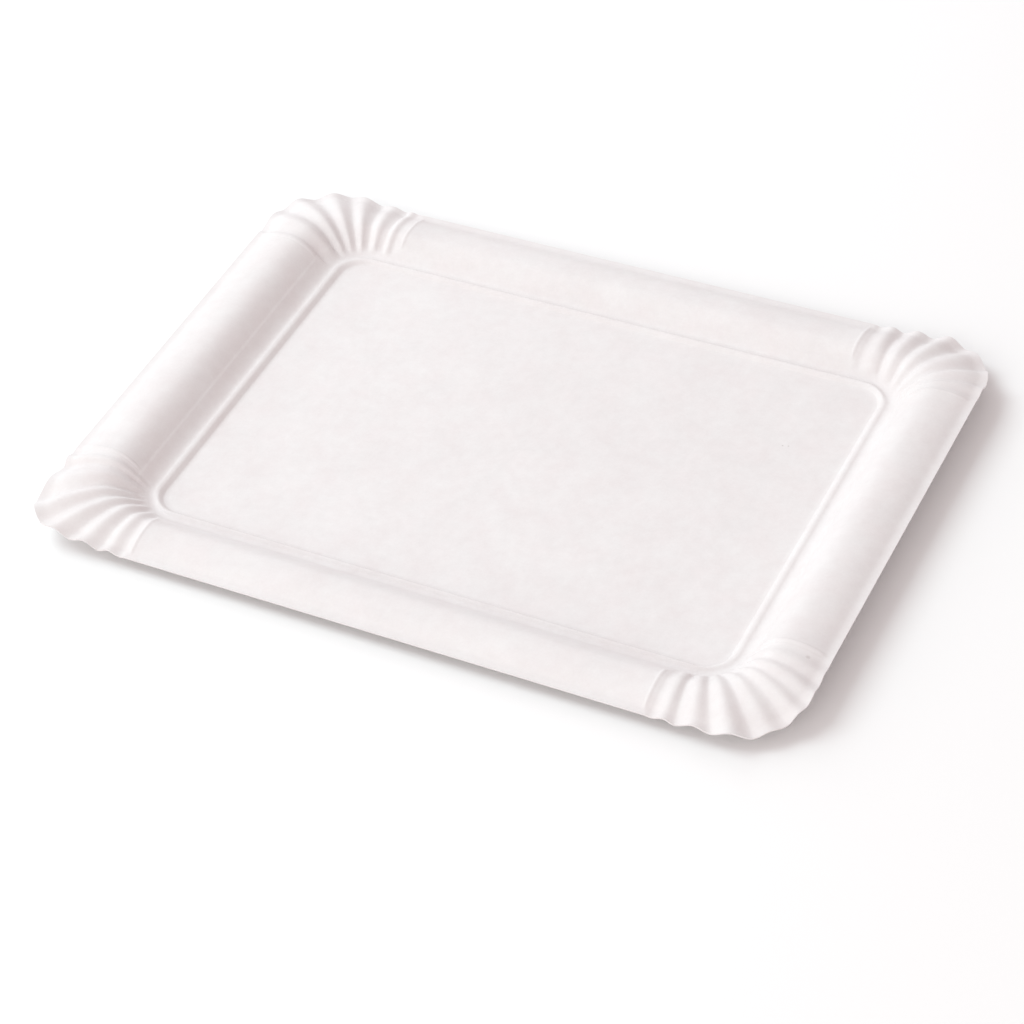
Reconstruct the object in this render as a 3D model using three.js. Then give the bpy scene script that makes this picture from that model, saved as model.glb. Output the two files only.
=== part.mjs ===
import * as THREE from 'three';

// A rectangular paper plate, pressed from one sheet of white paperboard.
// Millimetres, +Z up. The origin is under the middle of the flat floor,
// +X runs along the plate's length and +Y across its width.

// Overall sizes, between the straight cut edges.
const plateLength = 230;
const plateWidth = 165;
const sheetThickness = 0.45;

// Width of the pressed rim, from the edge of the flat floor to the cut edge.
const endRim = 28.2;
const sideRim = 24;

// Corner radii of the flat floor and of the cut edge, seen from above.
const floorCornerRadius = 6.8;
const outlineCornerRadius = 19.5;

// The fluted zone of a corner reaches this far along the two cut edges,
// counted from the corner where their straight runs would meet.
const sideFluteReach = 39.5;
const endFluteReach = 30.5;

// The round bead that frames the floor.
const beadWidth = 4.2;
const endBeadHeight = 1.4;
const sideBeadHeight = 0.95;

// The narrow ledge in the inner wall: distance out from the floor, and height.
const endLedgeOut = 8;
const endLedgeHeight = 5.2;
const sideLedgeOut = 7;
const sideLedgeHeight = 3.3;

// The crest of the broad shoulder.
const endCrestOut = 18.5;
const endCrestHeight = 10.5;
const sideCrestOut = 14.6;
const sideCrestHeight = 5.7;

// The flat lip along the cut edge. It lies lower than the shoulder.
const lipWidth = 1.7;
const endLipHeight = 8.3;
const sideLipHeight = 3.8;

// Slopes of the end's section, in degrees. Those of the sides are gentler.
const beadSlope = 44;
const wallSlope = 50;
const ledgeSlope = 34;
const outerFallSlope = 25;
const sideSlopeShare = 0.78;

// With 1 two flutes meet in a sharp V, with 0 in a round wave.
const valleySharpness = 0.15;
// Run of the slope from a plain side down into the first valley.
const creaseRun = 1.8;
// Share of the rim in which the flutes grow out of the bead's outer edge.
const fluteGrowth = 0.12;

// Pressed paper crumples a little differently in each of its four corners.
// valleys: where two flutes meet, as shares of the cut edge's run through the
// fluted zone, from the long side to the short side.
// lean: how much further along the bead the middle ribs start than in the fan.
// edgeDepth, beadDepth: depth of a flute as a share of its pitch, at the cut
// edge and at the bead. fade: share of the depth lost by the short side.
// bulge, sag: how far the middle of the cut edge stands out and hangs down.
const corners = [
  {
    alongX: 1, alongY: 1, valleys: [0.015, 0.13, 0.275, 0.445, 0.65, 0.8, 0.9],
    lean: 0.11, edgeDepth: 0.26, beadDepth: 0.11, fade: 0.6, bulge: -0.4, sag: 1.2,
  },
  {
    alongX: -1, alongY: 1, valleys: [0, 0.07, 0.21, 0.385, 0.57, 0.76, 0.97],
    lean: -0.05, edgeDepth: 0.13, beadDepth: 0.26, fade: -0.25, bulge: -0.8, sag: 0.5,
  },
  {
    alongX: -1, alongY: -1, valleys: [0.125, 0.24, 0.395, 0.53, 0.65, 0.87, 0.96],
    lean: 0.05, edgeDepth: 0.2, beadDepth: 0.19, fade: -0.1, bulge: 3.8, sag: -1.2,
  },
  {
    alongX: 1, alongY: -1, valleys: [0.03, 0.14, 0.305, 0.485, 0.645, 0.76, 0.87, 0.98],
    lean: -0.07, edgeDepth: 0.26, beadDepth: 0.17, fade: 0.75, bulge: -0.7, sag: 2.4,
  },
];

// How the flutes fan out: a rib that ends at the first share of the cut edge's
// run starts at the second share of the bead's run.
const fan = [
  [0, 0],
  [0.1, 0.25],
  [0.25, 0.45],
  [0.45, 0.6],
  [0.64, 0.7],
  [0.8, 0.78],
  [0.9, 0.87],
  [1, 1],
];

// Mesh steps of one flute, and of the crease at either end of a fluted zone.
const stepsPerFlute = 6;
const stepsPerCrease = 2;
// Part of a knot's step over which the section's slope is measured.
const slopeStep = 0.02;

const radians = (degrees) => (degrees * Math.PI) / 180;
const mix = (a, b, share) => a + (b - a) * share;
const clamp01 = (value) => Math.min(1, Math.max(0, value));
const smooth = (share) => share * share * (3 - 2 * share);

// Knots of the rim's section, from the edge of the floor to the cut edge:
// distance out, height above the floor, and rise per millimetre. Both kinds of
// section have the same knots, so that a corner can blend them.
function rimSection(size) {
  const { rim, bead, ledgeOut, ledge, crestOut, crest, lip, slopeShare } = size;
  const rise = (degrees) => Math.tan(radians(degrees * slopeShare));
  const lipOut = rim - lipWidth;
  const wallOut = (share) => mix(beadWidth, ledgeOut, share);
  const shoulderOut = (share) => mix(ledgeOut, crestOut, share);
  const fallOut = (share) => mix(crestOut, lipOut, share);
  return [
    { out: 0, height: 0, rise: 0 },
    { out: beadWidth * 0.22, height: bead * 0.5, rise: rise(beadSlope) },
    { out: beadWidth * 0.48, height: bead * 0.97, rise: rise(beadSlope * 0.15) },
    { out: beadWidth * 0.78, height: bead, rise: 0 },
    { out: beadWidth, height: bead * 1.12, rise: rise(wallSlope * 0.55) },
    { out: wallOut(0.6), height: mix(bead, ledge, 0.6), rise: rise(wallSlope) },
    { out: ledgeOut, height: ledge, rise: rise(ledgeSlope) },
    { out: shoulderOut(0.13), height: mix(ledge, crest, 0.24), rise: rise(wallSlope * 0.96) },
    { out: shoulderOut(0.38), height: mix(ledge, crest, 0.68), rise: rise(wallSlope * 0.62) },
    { out: shoulderOut(0.66), height: mix(ledge, crest, 0.92), rise: rise(wallSlope * 0.26) },
    { out: crestOut, height: crest, rise: 0 },
    { out: fallOut(0.45), height: mix(crest, lip, 0.24), rise: -rise(outerFallSlope * 0.6) },
    { out: fallOut(0.82), height: mix(crest, lip, 0.72), rise: -rise(outerFallSlope) },
    { out: lipOut, height: mix(lip, crest, 0.03), rise: -rise(outerFallSlope * 0.15) },
    { out: rim, height: lip, rise: 0 },
  ];
}

const endSection = rimSection({
  rim: endRim,
  bead: endBeadHeight,
  ledgeOut: endLedgeOut,
  ledge: endLedgeHeight,
  crestOut: endCrestOut,
  crest: endCrestHeight,
  lip: endLipHeight,
  slopeShare: 1,
});

const sideSection = rimSection({
  rim: sideRim,
  bead: sideBeadHeight,
  ledgeOut: sideLedgeOut,
  ledge: sideLedgeHeight,
  crestOut: sideCrestOut,
  crest: sideCrestHeight,
  lip: sideLipHeight,
  slopeShare: sideSlopeShare,
});

// A rounded corner in the first quadrant, run from the long side to the short
// side. Its ends go straight on, so shares below 0 and above 1 are points too.
function roundedCorner(halfLength, halfWidth, radius, startX, endY) {
  const centreX = halfLength - radius;
  const centreY = halfWidth - radius;
  const firstRun = Math.max(0, centreX - startX);
  const arcRun = (radius * Math.PI) / 2;
  const lastRun = Math.max(0, centreY - endY);
  const length = firstRun + arcRun + lastRun;
  const at = (share) => {
    const run = share * length;
    if (run < firstRun) {
      return {
        point: new THREE.Vector2(centreX - firstRun + run, halfWidth),
        outward: new THREE.Vector2(0, 1),
      };
    }
    if (run > firstRun + arcRun) {
      return {
        point: new THREE.Vector2(halfLength, centreY - (run - firstRun - arcRun)),
        outward: new THREE.Vector2(1, 0),
      };
    }
    const angle = (run - firstRun) / radius;
    const outward = new THREE.Vector2(Math.sin(angle), Math.cos(angle));
    return {
      point: new THREE.Vector2(centreX, centreY).addScaledVector(outward, radius),
      outward,
    };
  };
  return { at, length };
}

const halfLength = plateLength / 2;
const halfWidth = plateWidth / 2;
const zoneStartX = halfLength - sideFluteReach;
const zoneEndY = halfWidth - endFluteReach;

const cutEdge = roundedCorner(
  halfLength, halfWidth, outlineCornerRadius, zoneStartX, zoneEndY,
);
const beadEdge = roundedCorner(
  halfLength - endRim + beadWidth,
  halfWidth - sideRim + beadWidth,
  floorCornerRadius + beadWidth,
  zoneStartX,
  zoneEndY,
);

// Share of the bead's run from which the rib to a share of the cut edge starts.
function fanStart(corner, share) {
  if (share <= 0) {
    return (share * cutEdge.length) / beadEdge.length;
  }
  if (share >= 1) {
    return 1 + ((share - 1) * cutEdge.length) / beadEdge.length;
  }
  const next = fan.findIndex(([edgeShare]) => edgeShare > share);
  const [edgeA, beadA] = fan[next - 1];
  const [edgeB, beadB] = fan[next];
  const lean = 4 * corner.lean * share * (1 - share);
  return mix(beadA, beadB, (share - edgeA) / (edgeB - edgeA)) + lean;
}

// Point of a section at a knot number with a fraction, on the cubic between
// the knots on both sides of it: distance out and height.
function sectionPoint(section, place) {
  const index = Math.min(section.length - 2, Math.floor(place));
  const a = section[index];
  const b = section[index + 1];
  const t = place - index;
  const span = b.out - a.out;
  const height =
    a.height * (1 + 2 * t) * (1 - t) ** 2 +
    a.rise * span * t * (1 - t) ** 2 +
    b.height * t * t * (3 - 2 * t) +
    b.rise * span * t * t * (t - 1);
  return { out: mix(a.out, b.out, t), height };
}

// Height of a flute over its valleys, from 0 to 1 and back, across its width.
function fluteProfile(across) {
  const arch = Math.sin(Math.PI * across);
  return mix(arch * arch, arch, valleySharpness);
}

// Depth of the fold in a valley, from the mean pitch of the flutes beside it:
// at the bead and at the cut edge.
function foldDepth(corner, valley) {
  const { valleys } = corner;
  const before = valleys[Math.max(0, valley - 1)];
  const after = valleys[Math.min(valleys.length - 1, valley + 1)];
  const beadPitch = ((fanStart(corner, after) - fanStart(corner, before)) * beadEdge.length) / 2;
  const edgePitch = ((after - before) * cutEdge.length) / 2;
  const kept = 1 - corner.fade * valleys[valley];
  return {
    bead: corner.beadDepth * kept * beadPitch,
    edge: corner.edgeDepth * kept * edgePitch,
  };
}

// The wave at a share of the cut edge's run: how high it stands between -0.5
// in a valley and 0.5 on a crest, and its depth at the bead and at the cut
// edge. Outside the fluted zone it is 0.
function fluteWave(corner, share) {
  const { valleys } = corner;
  const crease = creaseRun / cutEdge.length;
  const last = valleys.length - 1;
  const next = valleys.findIndex((valley) => valley > share);
  const flute = Math.min(last, Math.max(1, next === -1 ? last : next));
  const across = clamp01((share - valleys[flute - 1]) / (valleys[flute] - valleys[flute - 1]));
  const near = foldDepth(corner, flute - 1);
  const far = foldDepth(corner, flute);
  const outside = Math.max(valleys[0] - share, share - valleys[last]) / crease;
  const stand = outside > 0 ? -0.5 * smooth(clamp01(1 - outside)) : fluteProfile(across) - 0.5;
  return {
    stand,
    beadDepth: mix(near.bead, far.bead, across),
    edgeDepth: mix(near.edge, far.edge, across),
  };
}

// Point of the cut edge in a corner, with its bulge, which never passes the
// straight edges, and the share of the sag there.
function cornerEdge(corner, share) {
  const { point, outward } = cutEdge.at(share);
  const hump = (2 * outward.x * outward.y) ** 2;
  point.addScaledVector(outward, corner.bulge * hump);
  point.min(new THREE.Vector2(halfLength, halfWidth));
  return { point, hump };
}

// Point of the sheet's upper face on the rib at a share of a corner's run, at
// a place in the section.
function upperPoint(corner, share, place) {
  const blend = smooth(clamp01(share));
  const side = sectionPoint(sideSection, place);
  const end = sectionPoint(endSection, place);
  const bead = beadEdge.at(fanStart(corner, share));
  const edge = cornerEdge(corner, share);
  const sideShare = (side.out - beadWidth) / (sideRim - beadWidth);
  const endShare = (end.out - beadWidth) / (endRim - beadWidth);
  const rimShare = mix(sideShare, endShare, blend);
  const flat = rimShare > 0
    ? bead.point.clone().lerp(edge.point, rimShare)
    : bead.point.clone().addScaledVector(bead.outward, side.out - beadWidth);
  const sag = corner.sag * edge.hump * clamp01(rimShare) ** 2;
  const point = new THREE.Vector3(flat.x, flat.y, mix(side.height, end.height, blend) - sag);
  if (rimShare > 0) {
    const wave = fluteWave(corner, share);
    const growth = smooth(clamp01(rimShare / fluteGrowth));
    const depth = mix(wave.beadDepth, wave.edgeDepth, rimShare) * wave.stand * growth;
    point.addScaledVector(ribNormal(blend, place, bead, edge), depth);
  }
  return new THREE.Vector3(point.x * corner.alongX, point.y * corner.alongY, point.z);
}

// Direction square to the unfluted rim, in the upright plane of a rib.
function ribNormal(blend, place, bead, edge) {
  const ahead = Math.min(place + slopeStep, endSection.length - 1);
  const behind = ahead - slopeStep;
  const rise = (section) =>
    sectionPoint(section, ahead).height - sectionPoint(section, behind).height;
  const run = (section) =>
    sectionPoint(section, ahead).out - sectionPoint(section, behind).out;
  const slope = mix(rise(sideSection) / run(sideSection), rise(endSection) / run(endSection), blend);
  const rib = edge.point.clone().sub(bead.point).normalize();
  return new THREE.Vector3(-slope * rib.x, -slope * rib.y, 1).normalize();
}

// Shares of the cut edge's run at which one corner has a rib of the mesh.
function ribShares(valleys) {
  const crease = creaseRun / cutEdge.length;
  const last = valleys.length - 1;
  const shares = [];
  for (let i = 0; i < stepsPerCrease; i += 1) {
    shares.push(valleys[0] - crease * (1 - i / stepsPerCrease));
  }
  for (let flute = 0; flute < last; flute += 1) {
    for (let i = 0; i < stepsPerFlute; i += 1) {
      shares.push(mix(valleys[flute], valleys[flute + 1], i / stepsPerFlute));
    }
  }
  for (let i = 0; i <= stepsPerCrease; i += 1) {
    shares.push(valleys[last] + (crease * i) / stepsPerCrease);
  }
  return shares;
}

// Ribs of the upper face all round the plate, counterclockwise from above.
function upperRibs() {
  const ribs = [];
  for (const corner of corners) {
    const shares = ribShares(corner.valleys);
    if (corner.alongX * corner.alongY > 0) {
      shares.reverse();
    }
    for (const share of shares) {
      const rib = endSection.map((knot, place) => upperPoint(corner, share, place));
      ribs.push(rib);
    }
  }
  return ribs;
}

// Sum of the unit steps before and after a point, along the sheet.
function tangent(before, point, after) {
  const back = point.clone().sub(before).normalize();
  const forth = after.clone().sub(point).normalize();
  return back.add(forth);
}

// Unit direction square to the upper face at a knot of a rib. The floor's edge
// and the flat lip point straight up.
function faceNormal(ribs, ribIndex, place) {
  const rib = ribs[ribIndex];
  if (place === 0) {
    return new THREE.Vector3(0, 0, 1);
  }
  const count = ribs.length;
  const left = ribs[(ribIndex + count - 1) % count][place];
  const right = ribs[(ribIndex + 1) % count][place];
  const outer = rib[Math.min(place + 1, rib.length - 1)];
  const around = tangent(left, rib[place], right);
  const outwards = tangent(rib[place - 1], rib[place], outer);
  return outwards.cross(around).normalize();
}

// The closed sheet: the upper face, the lower face one thickness below it, and
// the cut edge between them.
function sheetGeometry() {
  const ribs = upperRibs();
  const count = ribs.length;
  const places = endSection.length;
  const positions = [];
  const lift = new THREE.Vector3(0, 0, sheetThickness);
  const add = (point) => positions.push(point.x, point.y, point.z) / 3 - 1;
  const upper = ribs.map((rib) => rib.map((point) => add(point.clone().add(lift))));
  const lower = ribs.map((rib, i) => rib.map((point, place) => {
    const normal = faceNormal(ribs, i, place);
    return add(point.clone().add(lift).addScaledVector(normal, -sheetThickness));
  }));
  const upperMiddle = add(lift);
  const lowerMiddle = add(new THREE.Vector3());
  const faces = [];
  const quad = (a, b, c, d) => faces.push(a, b, c, a, c, d);
  for (let i = 0; i < count; i += 1) {
    const j = (i + 1) % count;
    for (let place = 0; place < places - 1; place += 1) {
      quad(upper[i][place], upper[i][place + 1], upper[j][place + 1], upper[j][place]);
      quad(lower[i][place], lower[j][place], lower[j][place + 1], lower[i][place + 1]);
    }
    quad(upper[i][places - 1], lower[i][places - 1], lower[j][places - 1], upper[j][places - 1]);
    faces.push(upperMiddle, upper[i][0], upper[j][0]);
    faces.push(lowerMiddle, lower[j][0], lower[i][0]);
  }
  const geometry = new THREE.BufferGeometry();
  geometry.setAttribute('position', new THREE.Float32BufferAttribute(positions, 3));
  geometry.setIndex(faces);
  geometry.computeVertexNormals();
  return geometry;
}

// White paperboard with a dull, faintly warm face.
function paperboard() {
  return new THREE.MeshStandardMaterial({ color: 0xf3efee, roughness: 0.75, metalness: 0 });
}

const plate = new THREE.Mesh(sheetGeometry(), paperboard());
plate.name = 'plate';

const model = new THREE.Group();
model.add(plate);

export default model;
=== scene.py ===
"""A rectangular paper plate, pressed from one sheet of white paperboard, on a pale table.

Metres, +Z up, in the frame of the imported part. Sizes of the plate are given in millimetres.
"""

import math

import bpy
import numpy as np
from mathutils import Matrix, Vector


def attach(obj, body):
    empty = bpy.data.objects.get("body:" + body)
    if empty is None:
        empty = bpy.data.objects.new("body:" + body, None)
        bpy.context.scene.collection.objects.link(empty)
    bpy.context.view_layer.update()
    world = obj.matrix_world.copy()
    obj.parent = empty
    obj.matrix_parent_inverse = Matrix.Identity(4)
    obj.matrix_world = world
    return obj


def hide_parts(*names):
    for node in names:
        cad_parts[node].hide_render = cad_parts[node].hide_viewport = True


MM = 0.001

# Sizes between the straight cut edges.
PLATE_LENGTH = 230.0
PLATE_WIDTH = 165.0
SHEET_THICKNESS = 0.45

# Widths of the pressed rim and corner radii seen from above.
END_RIM = 28.2
SIDE_RIM = 24.0
FLOOR_CORNER_RADIUS = 6.8
OUTLINE_CORNER_RADIUS = 19.5
SIDE_FLUTE_REACH = 39.5
END_FLUTE_REACH = 30.5

BEAD_WIDTH = 4.2

# How sharp the valleys are, the run of the crease beside a fluted zone, and the share of the rim
# over which the flutes grow behind the bead.
VALLEY_SHARPNESS = 0.15
CREASE_RUN = 1.8
FLUTE_GROWTH = 0.12


class Corner:
    """A fluted corner: the signs of its quadrant, and how it is crumpled.

    Valleys are shares of the cut edge's run from the long side to the short side. The lean moves
    the ribs' starts along the bead. The depths are shares of a flute's pitch at the cut edge and at
    the bead, and they fade to the short side. The middle bulges out and sags by millimetres."""

    def __init__(self, signs, valleys, lean, edge_depth, bead_depth, fade, bulge, sag):
        self.signs = signs
        self.valleys = np.array(valleys)
        self.lean = lean
        self.edge_depth = edge_depth
        self.bead_depth = bead_depth
        self.fade = fade
        self.bulge = bulge
        self.sag = sag


CORNERS = (
    Corner((1, 1), (0.015, 0.13, 0.275, 0.445, 0.65, 0.8, 0.9), 0.11, 0.22, 0.16, 0.3, -0.4, 1.2),
    Corner((-1, 1), (0, 0.07, 0.21, 0.385, 0.57, 0.76, 0.97), -0.05, 0.13, 0.26, -0.25, -0.8, 0.5),
    Corner((-1, -1), (0.125, 0.24, 0.395, 0.53, 0.65, 0.87, 0.96), 0.05, 0.2, 0.19, -0.1, 3.8, -1.2),
    Corner(
        (1, -1), (0.03, 0.14, 0.305, 0.485, 0.645, 0.76, 0.87, 0.98), -0.07, 0.19, 0.2, 0.45, -0.7, 2.4
    ),
)

# A rib that ends at a share of the cut edge's run starts at a share of the bead's.
FAN_EDGE = (0.0, 0.1, 0.25, 0.45, 0.64, 0.8, 0.9, 1.0)
FAN_BEAD = (0.0, 0.25, 0.45, 0.6, 0.7, 0.78, 0.87, 1.0)

# A narrow ridge on either side of a fluted zone: its run past the last valley, half its width, its
# height, the shares of the rim from which and to which it goes, and the share over which it fades.
RIDGE_RUN = 2.5
RIDGE_HALF_WIDTH = 0.9
RIDGE_HEIGHT = 0.28
RIDGE_FROM = 0.12
RIDGE_TO = 0.95
RIDGE_FADE = 0.1

# The knot of the ledge, and the share of a corner's run over which the ledge fades into the zone.
LEDGE_KNOT = 10
LEDGE_FADE = 0.06

# The inner ring of the floor as shares of the outer one, and the angle from which an edge is sharp.
FLOOR_RING = (0.985, 0.98, 1.0)
SHARP_ANGLE = 55.0

# Sizes of the paper's patterns in metres.
FORMATION_SIZE = 0.0032
FIBRE_SIZE = 0.0007
PATCH_SIZE = 0.014
BLUSH_SIZE = 0.009
DRIFT_SIZE = 0.06

DARK_PAPER = (0.775, 0.735, 0.732, 1.0)
LIGHT_PAPER = (0.835, 0.805, 0.802, 1.0)
BLUSH_TINT = (0.995, 0.975, 0.976, 1.0)
SPECK_TINT = (0.35, 0.28, 0.25, 1.0)
DARK_TABLE = (0.94, 0.93, 0.928, 1.0)
LIGHT_TABLE = (0.955, 0.945, 0.943, 1.0)

# Small dark specks: place on the plate and radius in millimetres.
SPECKS = (
    ((68.2, 28.0, 0.45), 0.35),
    ((69.8, 28.4, 0.45), 0.3),
    ((109.2, -53.8, 9.6), 0.9),
)

# Grid steps.
STEPS_PER_FLUTE = 20
STEPS_PER_CREASE = 10
STEPS_PER_SIDE = 12
STEPS_PER_KNOT = 3

# The photograph's view.
VIEW_TARGET = (0.0088, -0.0240, 0.0004)
VIEW_DISTANCE = 0.8301
VIEW_AZIMUTH = -59.26
VIEW_ELEVATION = 43.20
VIEW_ROLL = -6.55
LENS = 105.2

# Soft square lamps, all of one size and distance: name, azimuth, elevation, watts, colour.
LAMP_DISTANCE = 1.5
LAMP_SIZE = 0.9
LAMPS = (
    ("left_light", 180.0, 50.0, 11.5, (0.83, 0.98, 1.0)),
    ("back_light", 135.0, 25.0, 4.7, (0.88, 0.97, 1.0)),
    ("front_light", -90.0, 25.0, 4.9, (0.95, 1.0, 0.98)),
    ("near_left_light", -135.0, 25.0, 1.9, (0.95, 1.0, 0.98)),
    ("near_right_light", -45.0, 25.0, 1.4, (0.95, 1.0, 0.98)),
)
SURROUND_STRENGTH = 0.611
SURROUND_COLOUR = (1.0, 0.893, 0.891, 1.0)


def mix(a, b, share):
    return a + (b - a) * share


def smooth(share):
    """Three times the square less twice the cube, with the share kept from 0 to 1."""
    share = np.clip(share, 0.0, 1.0)
    return share * share * (3.0 - 2.0 * share)


# Knots of the rim's section from the floor to the cut edge: distance out, height, rise.
END_KNOTS = np.array(
    [
        (0.0, 0.0, 0.4),
        (0.6, 0.5, 1.05),
        (1.2, 1.1, 0.85),
        (1.7, 1.38, 0.3),
        (2.3, 1.46, 0.03),
        (3.0, 1.32, -0.12),
        (3.6, 1.32, 0.12),
        (BEAD_WIDTH, 1.48, 0.4),
        (6.0, 2.82, 1.07),
        (7.15, 4.25, 1.35),
        (7.75, 4.88, 0.6),
        (8.4, 5.6, 1.35),
        (9.9, 7.3, 1.0),
        (12.0, 9.0, 0.65),
        (14.5, 10.12, 0.27),
        (17.3, 10.45, 0.0),
        (20.5, 10.18, -0.17),
        (23.5, 9.43, -0.34),
        (25.5, 8.62, -0.45),
        (26.9, 8.25, -0.1),
        (END_RIM, 8.2, 0.0),
    ]
)
SIDE_KNOTS = np.array(
    [
        (0.0, 0.0, 0.5),
        (0.6, 0.47, 1.0),
        (1.2, 0.98, 0.6),
        (1.7, 1.08, -0.3),
        (2.3, 0.63, -0.8),
        (3.0, 0.42, 0.02),
        (3.6, 0.57, 0.36),
        (BEAD_WIDTH, 0.84, 0.5),
        (5.3, 1.75, 0.8),
        (6.1, 2.42, 0.92),
        (6.5, 2.73, 0.6),
        (7.1, 3.2, 0.8),
        (8.3, 4.1, 0.7),
        (9.6, 4.88, 0.48),
        (10.8, 5.42, 0.28),
        (12.2, 5.66, 0.03),
        (15.5, 5.52, -0.13),
        (18.5, 4.9, -0.36),
        (20.8, 3.87, -0.56),
        (22.3, 3.42, -0.08),
        (SIDE_RIM, 3.4, 0.0),
    ]
)


def plain(knots):
    """The knots without the ledge: its rise is the mean of the rises on both sides of it."""
    knots = knots.copy()
    knots[LEDGE_KNOT, 2] = (knots[LEDGE_KNOT - 1, 2] + knots[LEDGE_KNOT + 1, 2]) / 2.0
    return knots


def section(knots, place):
    """Distance out, height and slope at a knot number with a fraction.

    The height is the cubic that has the height and the rise of both neighbouring knots."""
    index = np.minimum(len(knots) - 2, np.floor(place)).astype(int)
    a, b = knots[index], knots[index + 1]
    t = place - index
    span = b[..., 0] - a[..., 0]
    height = (
        a[..., 1] * (1 + 2 * t) * (1 - t) ** 2
        + a[..., 2] * span * t * (1 - t) ** 2
        + b[..., 1] * t * t * (3 - 2 * t)
        + b[..., 2] * span * t * t * (t - 1)
    )
    slope = (
        (b[..., 1] - a[..., 1]) / span * 6 * t * (1 - t)
        + a[..., 2] * (1 - t) * (1 - 3 * t)
        + b[..., 2] * t * (3 * t - 2)
    )
    return mix(a[..., 0], b[..., 0], t), height, slope


def faded_section(knots, place, share):
    """The section with its ledge faded out by a share."""
    return mix(np.stack(section(knots, place)), np.stack(section(plain(knots), place)), share)


class RoundedCorner:
    """A straight run, a quarter circle and a straight run, from the long side to the short side."""

    def __init__(self, half_length, half_width, radius, start_x, end_y):
        self.centre = np.array([half_length - radius, half_width - radius])
        self.radius = radius
        self.first = max(0.0, self.centre[0] - start_x)
        self.arc = radius * math.pi / 2
        self.length = self.first + self.arc + max(0.0, self.centre[1] - end_y)

    def at(self, share):
        """Points at shares of the run, and the directions square to it.

        The angle is the run past the first straight over the radius, kept to a quarter turn, and
        what is left of the run on either side goes straight on."""
        run = share * self.length - self.first
        angle = np.clip(run, 0.0, self.arc) / self.radius
        outward = np.stack([np.sin(angle), np.cos(angle)], -1)
        straight = np.stack([np.minimum(run, 0.0), np.minimum(self.arc - run, 0.0)], -1)
        return self.centre + self.radius * outward + straight, outward


CUT_EDGE = RoundedCorner(
    PLATE_LENGTH / 2,
    PLATE_WIDTH / 2,
    OUTLINE_CORNER_RADIUS,
    PLATE_LENGTH / 2 - SIDE_FLUTE_REACH,
    PLATE_WIDTH / 2 - END_FLUTE_REACH,
)
BEAD_EDGE = RoundedCorner(
    PLATE_LENGTH / 2 - END_RIM + BEAD_WIDTH,
    PLATE_WIDTH / 2 - SIDE_RIM + BEAD_WIDTH,
    FLOOR_CORNER_RADIUS + BEAD_WIDTH,
    PLATE_LENGTH / 2 - SIDE_FLUTE_REACH,
    PLATE_WIDTH / 2 - END_FLUTE_REACH,
)


def fan_start(corner, share):
    """Share of the bead's run where the rib to a share of the cut edge starts.

    Inside the zone it is the fan's, plus four times the lean times the share times what the share
    lacks to 1."""
    scale = CUT_EDGE.length / BEAD_EDGE.length
    inner = np.clip(share, 0.0, 1.0)
    inside = np.interp(share, FAN_EDGE, FAN_BEAD) + 4.0 * corner.lean * inner * (1.0 - inner)
    return inside + np.minimum(share, 0.0) * scale + np.maximum(share - 1.0, 0.0) * scale


def fold_depths(corner):
    """Depths of the folds in the valleys at the bead and at the cut edge.

    A depth is its share of the mean pitch of the flutes beside it, less what has faded there."""
    before = np.concatenate([corner.valleys[:1], corner.valleys[:-1]])
    after = np.concatenate([corner.valleys[1:], corner.valleys[-1:]])
    kept = (1.0 - corner.fade * corner.valleys) / 2.0
    bead_pitch = (fan_start(corner, after) - fan_start(corner, before)) * BEAD_EDGE.length
    edge_pitch = (after - before) * CUT_EDGE.length
    return corner.bead_depth * kept * bead_pitch, corner.edge_depth * kept * edge_pitch


def flute_wave(corner, share):
    """Stand of the wave from -0.5 in a valley to 0.5 on a crest, its two depths, and the ridge.

    Across a flute it is the mean of a half sine and its square, weighted by the sharpness, less a
    half. Beside the zone it eases from -0.5 to 0 over the crease's run. The ridge is highest where
    its run says, and eases to 0 half its width away."""
    valleys = corner.valleys
    flute = np.clip(np.searchsorted(valleys, share, side="right"), 1, len(valleys) - 1)
    pitch = valleys[flute] - valleys[flute - 1]
    across = np.clip((share - valleys[flute - 1]) / pitch, 0.0, 1.0)
    arch = np.sin(np.pi * across)
    stand = mix(arch * arch, arch, VALLEY_SHARPNESS) - 0.5
    outside = np.maximum(valleys[0] - share, share - valleys[-1]) * CUT_EDGE.length
    stand = np.where(outside > 0, -0.5 * smooth(1.0 - outside / CREASE_RUN), stand)
    depths = [mix(depth[flute - 1], depth[flute], across) for depth in fold_depths(corner)]
    ridge = RIDGE_HEIGHT * smooth(1.0 - np.abs(outside - RIDGE_RUN) / RIDGE_HALF_WIDTH)
    return stand, *depths, ridge


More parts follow.
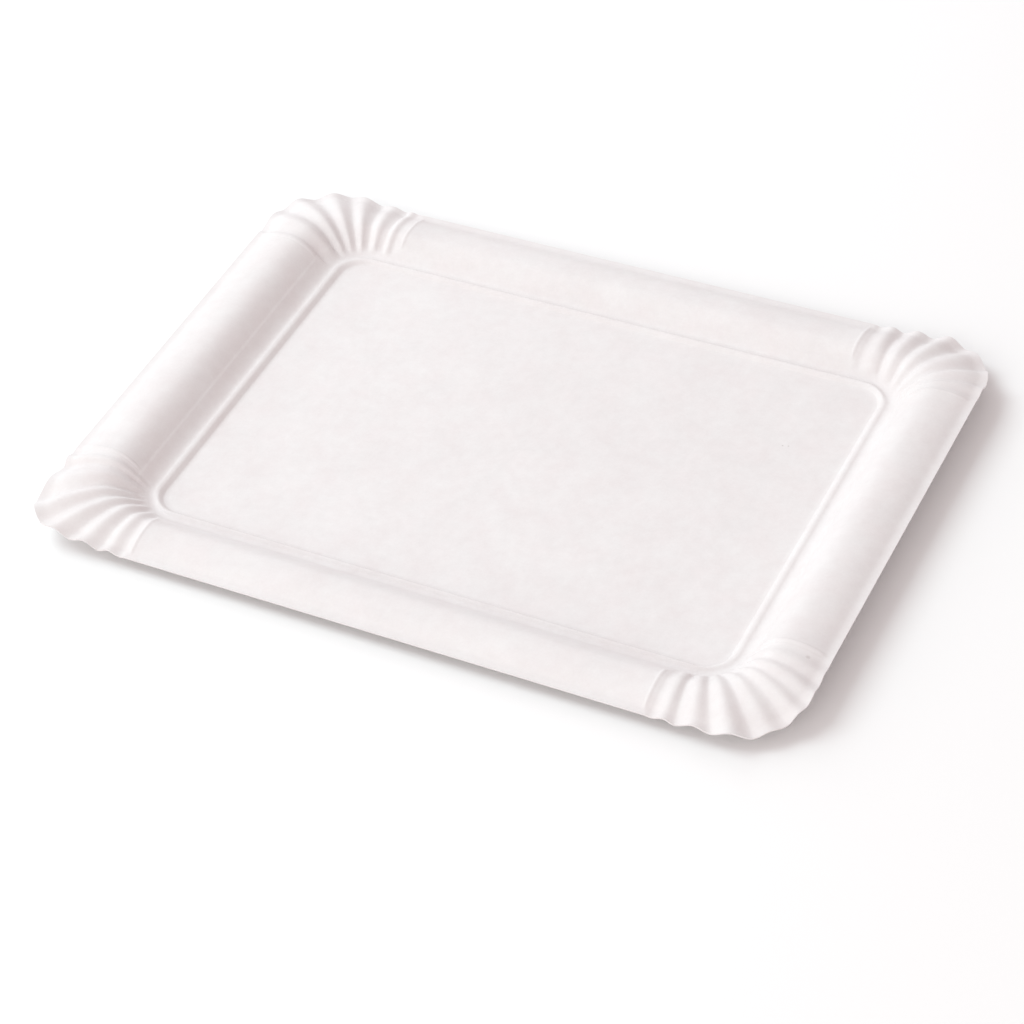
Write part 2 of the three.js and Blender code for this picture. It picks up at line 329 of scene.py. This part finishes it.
def rim_surface(corner, share, place):
    """Upper face of the rim at shares of a corner's run and places in the section.

    A rib runs straight from the bead to the cut edge, which bulges by the square of the sine of
    twice the angle round the corner but never passes the straight edges. Its height blends the
    section of the side into that of the end, less the sag, which grows with the square of the way
    out, and the wave and the ridge lift it square to the rib's own slope. The ledge fades out
    inside the outermost valleys."""
    share, place = np.meshgrid(share, place, indexing="ij")
    blend = smooth(share)
    inside = smooth(np.minimum(share - corner.valleys[0], corner.valleys[-1] - share) / LEDGE_FADE)
    side_out, side_height, side_slope = faded_section(SIDE_KNOTS, place, inside)
    end_out, end_height, end_slope = faded_section(END_KNOTS, place, inside)
    bead, outward = BEAD_EDGE.at(fan_start(corner, share))
    edge, edge_outward = CUT_EDGE.at(share)
    hump = (2.0 * edge_outward[..., 0] * edge_outward[..., 1]) ** 2
    edge = edge + edge_outward * (corner.bulge * hump)[..., None]
    edge = np.minimum(edge, (PLATE_LENGTH / 2, PLATE_WIDTH / 2))
    rim_share = mix(
        (side_out - BEAD_WIDTH) / (SIDE_RIM - BEAD_WIDTH),
        (end_out - BEAD_WIDTH) / (END_RIM - BEAD_WIDTH),
        blend,
    )
    on_bead = bead + outward * (side_out - BEAD_WIDTH)[..., None]
    on_rim = bead + (edge - bead) * rim_share[..., None]
    flat = np.where((rim_share > 0)[..., None], on_rim, on_bead)
    way_out = np.maximum(rim_share, 0.0)
    height = mix(side_height, end_height, blend) - corner.sag * hump * way_out**2
    stand, bead_depth, edge_depth, ridge = flute_wave(corner, share)
    depth = mix(bead_depth, edge_depth, way_out) * stand * smooth(rim_share / FLUTE_GROWTH)
    ridge = ridge * smooth((rim_share - RIDGE_FROM) / RIDGE_FADE)
    depth = depth + ridge * smooth((RIDGE_TO - rim_share) / RIDGE_FADE)
    rib = edge - bead
    rib = rib / np.linalg.norm(rib, axis=-1, keepdims=True)
    slope = mix(side_slope, end_slope, blend)
    steep = 1.0 / np.sqrt(1.0 + slope**2)
    flat = flat - rib * (slope * steep * depth)[..., None]
    height = height + steep * depth
    along_x, along_y = corner.signs
    return np.stack([flat[..., 0] * along_x, flat[..., 1] * along_y, height], -1)


def rib_shares(valleys):
    """Shares of a corner's run that carry a rib, evenly spaced within each flute and crease."""
    crease = (RIDGE_RUN + RIDGE_HALF_WIDTH) / CUT_EDGE.length
    stops = [valleys[0] - crease, *valleys, valleys[-1] + crease]
    steps = [STEPS_PER_CREASE] + [STEPS_PER_FLUTE] * (len(valleys) - 1) + [STEPS_PER_CREASE]
    pieces = [np.linspace(a, b, n, endpoint=False) for a, b, n in zip(stops, stops[1:], steps)]
    return np.concatenate(pieces + [[stops[-1]]])


def upper_grid():
    """Ribs all round the plate, counterclockwise, by places in the section: the upper face."""
    knots = len(END_KNOTS) - 1
    place = np.linspace(0.0, knots, knots * STEPS_PER_KNOT + 1)
    corners = []
    for corner in CORNERS:
        ribs = rim_surface(corner, rib_shares(corner.valleys), place)
        corners.append(ribs[::-1] if math.prod(corner.signs) > 0 else ribs)
    rows = []
    for ribs, following in zip(corners, corners[1:] + corners[:1]):
        along = np.linspace(0.0, 1.0, STEPS_PER_SIDE + 1)[1:-1, None, None]
        rows += [ribs, mix(ribs[-1], following[0], along)]
    return np.concatenate(rows)


def unit(vectors):
    return vectors / np.linalg.norm(vectors, axis=-1, keepdims=True)


def face_normals(grid):
    """Directions square to the grid: the cross product of the mean steps out and around."""
    around = unit(np.roll(grid, -1, 0) - grid) + unit(grid - np.roll(grid, 1, 0))
    steps = unit(np.diff(grid, axis=1))
    outwards = np.concatenate([steps[:, :1], steps[:, :-1] + steps[:, 1:], steps[:, -1:]], 1)
    normals = unit(np.cross(outwards, around))
    normals[:, 0] = (0.0, 0.0, 1.0)
    return normals


def sheet_mesh(name):
    """The closed sheet: upper face, lower face one thickness below it, cut edge, and both floors."""
    rim = upper_grid()
    floor = rim[:, :1] * FLOOR_RING
    grid = np.concatenate([floor, rim], 1)
    normals = np.concatenate([np.broadcast_to((0.0, 0.0, 1.0), floor.shape), face_normals(rim)], 1)
    upper = grid + (0.0, 0.0, SHEET_THICKNESS)
    lower = upper - normals * SHEET_THICKNESS
    ribs, places = grid.shape[:2]
    middles = np.array([(0.0, 0.0, SHEET_THICKNESS), (0.0, 0.0, 0.0)])
    points = np.concatenate([upper.reshape(-1, 3), lower.reshape(-1, 3), middles]) * MM
    number = np.arange(ribs * places).reshape(ribs, places)
    here, there = number, np.roll(number, -1, 0)
    under = ribs * places

    def quads(a, b, c, d):
        return np.stack([a.ravel(), b.ravel(), c.ravel(), d.ravel()], -1)

    top = quads(here[:, :-1], here[:, 1:], there[:, 1:], there[:, :-1])
    bottom = quads(here[:, :-1], there[:, :-1], there[:, 1:], here[:, 1:]) + under
    cut = quads(here[:, -1], here[:, -1] + under, there[:, -1] + under, there[:, -1])
    fan_top = np.stack([np.full(ribs, 2 * under), here[:, 0], there[:, 0]], -1)
    fan_bottom = np.stack([np.full(ribs, 2 * under + 1), there[:, 0] + under, here[:, 0] + under], -1)
    mesh = bpy.data.meshes.new(name)
    faces = [*top.tolist(), *bottom.tolist(), *cut.tolist(), *fan_top.tolist(), *fan_bottom.tolist()]
    mesh.from_pydata(points, [], faces)
    mesh.shade_smooth()
    mesh.set_sharp_from_angle(angle=math.radians(SHARP_ANGLE))
    mesh.update()
    return mesh


class Tree:
    """A material's nodes."""

    def __init__(self, name):
        self.material = bpy.data.materials.new(name)
        self.material.use_nodes = True
        self.nodes = self.material.node_tree.nodes
        self.links = self.material.node_tree.links
        self.nodes.clear()

    def feed(self, socket, value):
        """Links a value to a socket, or writes a plain number or colour there."""
        if isinstance(value, Wire):
            self.links.new(value.socket, socket)
        else:
            socket.default_value = value

    def node(self, kind, settings=None, output=0, **inputs):
        """A node with its settings, then the values or links of its sockets, and one output."""
        node = self.nodes.new(kind)
        for key, value in (settings or {}).items():
            if key == "stops":
                for _ in range(len(value) - len(node.color_ramp.elements)):
                    node.color_ramp.elements.new(0.5)
                for element, (position, colour) in zip(node.color_ramp.elements, value):
                    element.position = position
                    element.color = colour
            else:
                setattr(node, key, value)
        for key, value in inputs.items():
            name = key.replace("_", " ")
            socket = node.inputs[int(name[2:])] if name.startswith("in") else node.inputs[name]
            self.feed(socket, value)
        return Wire(self, node.outputs[output])

    def blend(self, share, colour, tint):
        """A colour multiplied by a tint, as far as the share says."""
        settings = {"data_type": "RGBA", "blend_type": "MULTIPLY"}
        return self.node("ShaderNodeMix", settings, output=2, in0=share, in6=colour, in7=tint)


class Wire:
    """A socket that plain arithmetic works on."""

    def __init__(self, tree, socket):
        self.tree = tree
        self.socket = socket

    def math(self, operation, *values):
        inputs = {f"in{i}": value for i, value in enumerate(values)}
        return self.tree.node("ShaderNodeMath", {"operation": operation}, **inputs)

    def __add__(self, other):
        return self.math("ADD", self, other)

    __radd__ = __add__

    def __sub__(self, other):
        return self.math("SUBTRACT", self, other)

    def __rsub__(self, other):
        return self.math("SUBTRACT", other, self)

    def __mul__(self, other):
        return self.math("MULTIPLY", self, other)

    __rmul__ = __mul__

    def clamp(self):
        return self.math("MINIMUM", self.math("MAXIMUM", self, 0.0), 1.0)


def paper(name):
    """White uncoated paperboard: cloudy fibre mottling, faint flecks and a finely toothed face."""
    tree = Tree(name)
    place = tree.node("ShaderNodeTexCoord", output=3)

    def cloud(size, detail=2.0, roughness=0.5):
        return tree.node(
            "ShaderNodeTexNoise",
            Vector=place,
            Scale=1.0 / size,
            Detail=detail,
            Roughness=roughness,
        )

    def near(point, radius):
        """1 at a point of the plate, in millimetres, falling to 0 at a radius."""
        middle = tuple(c * MM for c in point)
        away = tree.node(
            "ShaderNodeVectorMath", {"operation": "DISTANCE"}, output=1, in0=place, in1=middle
        )
        return (1.0 - away * (1.0 / (radius * MM))).clamp()

    formation = cloud(FORMATION_SIZE, detail=4.0, roughness=0.6)
    fibre = cloud(FIBRE_SIZE, detail=3.0, roughness=0.65)
    patches = cloud(PATCH_SIZE, detail=3.0, roughness=0.6)
    drift = cloud(DRIFT_SIZE)
    tone = (0.4 * formation + 0.3 * fibre + 0.35 * patches + 0.2 * drift - 0.625) * 1.7 + 0.5
    colour = tree.node(
        "ShaderNodeValToRGB",
        {"stops": [(0.2, DARK_PAPER), (0.8, LIGHT_PAPER)]},
        Fac=tone.clamp(),
    )
    blush = ((cloud(BLUSH_SIZE, detail=3.0) - 0.35) * 2.5).clamp()
    colour = tree.blend(blush, colour, BLUSH_TINT)
    for point, radius in SPECKS:
        colour = tree.blend(near(point, radius) * 0.5, colour, SPECK_TINT)
    roughness = 0.62 + 0.12 * fibre
    height = 0.6 * formation + 0.4 * fibre
    bump = tree.node("ShaderNodeBump", Strength=0.5, Distance=0.00004, Height=height)
    surface = tree.node(
        "ShaderNodeBsdfPrincipled",
        Base_Color=colour,
        Roughness=roughness,
        Normal=bump,
        IOR=1.45,
    )
    surface.socket.node.inputs["Specular IOR Level"].default_value = 0.35
    out = tree.nodes.new("ShaderNodeOutputMaterial")
    tree.links.new(surface.socket, out.inputs["Surface"])
    return tree.material


def table_top(name):
    """A pale smooth table, hardly mottled."""
    tree = Tree(name)
    place = tree.node("ShaderNodeTexCoord", output=3)
    cloud = tree.node("ShaderNodeTexNoise", Vector=place, Scale=3.0, Detail=2.0)
    colour = tree.node(
        "ShaderNodeValToRGB",
        {"stops": [(0.0, DARK_TABLE), (1.0, LIGHT_TABLE)]},
        Fac=cloud,
    )
    surface = tree.node("ShaderNodeBsdfPrincipled", Base_Color=colour, Roughness=0.9)
    surface.socket.node.inputs["Specular IOR Level"].default_value = 0.1
    out = tree.nodes.new("ShaderNodeOutputMaterial")
    tree.links.new(surface.socket, out.inputs["Surface"])
    return tree.material


def add_object(name, data):
    thing = bpy.data.objects.new(name, data)
    bpy.context.scene.collection.objects.link(thing)
    return thing


def pressed_plate():
    """The plate at full detail, in the place of the part's one solid."""
    plate = add_object("pressed_plate", sheet_mesh("pressed_plate"))
    plate.data.materials.append(paper("white_paperboard"))
    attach(plate, "root")
    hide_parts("plate")
    return plate


def table():
    """A wide flat table top under the plate."""
    half = 2.5
    mesh = bpy.data.meshes.new("table_top")
    corners = [(-half, -half, 0.0), (half, -half, 0.0), (half, half, 0.0), (-half, half, 0.0)]
    mesh.from_pydata(corners, [], [(0, 1, 2, 3)])
    mesh.materials.append(table_top("pale_table"))
    add_object("table_top", mesh)


def aim(thing, position, target, roll=0.0):
    """Stands a camera or lamp at a position, turned to a target and rolled about its own axis."""
    position, target = Vector(position), Vector(target)
    turn = (target - position).to_track_quat("-Z", "Y").to_matrix().to_4x4()
    thing.matrix_world = Matrix.Translation(position) @ turn @ Matrix.Rotation(roll, 4, "Z")


def direction(azimuth, elevation):
    azimuth, elevation = math.radians(azimuth), math.radians(elevation)
    return Vector(
        (
            math.cos(elevation) * math.cos(azimuth),
            math.cos(elevation) * math.sin(azimuth),
            math.sin(elevation),
        )
    )


def camera():
    """The photograph's view: a long lens from above the plate's near right corner."""
    data = bpy.data.cameras.new("view")
    data.lens = LENS
    data.sensor_width = 36.0
    data.clip_start = 0.05
    view = add_object("view", data)
    target = Vector(VIEW_TARGET)
    position = target + direction(VIEW_AZIMUTH, VIEW_ELEVATION) * VIEW_DISTANCE
    aim(view, position, target, math.radians(VIEW_ROLL))
    bpy.context.scene.camera = view


def lamp(name, azimuth, elevation, watts, colour):
    """A square soft light that shines on the middle of the plate."""
    data = bpy.data.lights.new(name, "AREA")
    data.shape = "SQUARE"
    data.size = LAMP_SIZE
    data.energy = watts
    data.color = colour
    light = add_object(name, data)
    aim(light, direction(azimuth, elevation) * LAMP_DISTANCE, (0.0, 0.0, 0.0))


def surroundings():
    """Even pale light from all round."""
    world = bpy.data.worlds.new("studio")
    world.use_nodes = True
    background = world.node_tree.nodes["Background"]
    background.inputs["Color"].default_value = SURROUND_COLOUR
    background.inputs["Strength"].default_value = SURROUND_STRENGTH
    bpy.context.scene.world = world


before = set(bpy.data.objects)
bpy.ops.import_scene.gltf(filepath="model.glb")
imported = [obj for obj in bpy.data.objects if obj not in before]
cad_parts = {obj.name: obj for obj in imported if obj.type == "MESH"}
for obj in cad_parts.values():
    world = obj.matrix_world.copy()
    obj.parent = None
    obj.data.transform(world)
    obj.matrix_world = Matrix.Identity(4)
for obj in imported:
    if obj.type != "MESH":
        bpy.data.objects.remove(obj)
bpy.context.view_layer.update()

pressed_plate()
table()
camera()
for settings in LAMPS:
    lamp(*settings)
surroundings()
bpy.context.scene.view_settings.view_transform = "Standard"
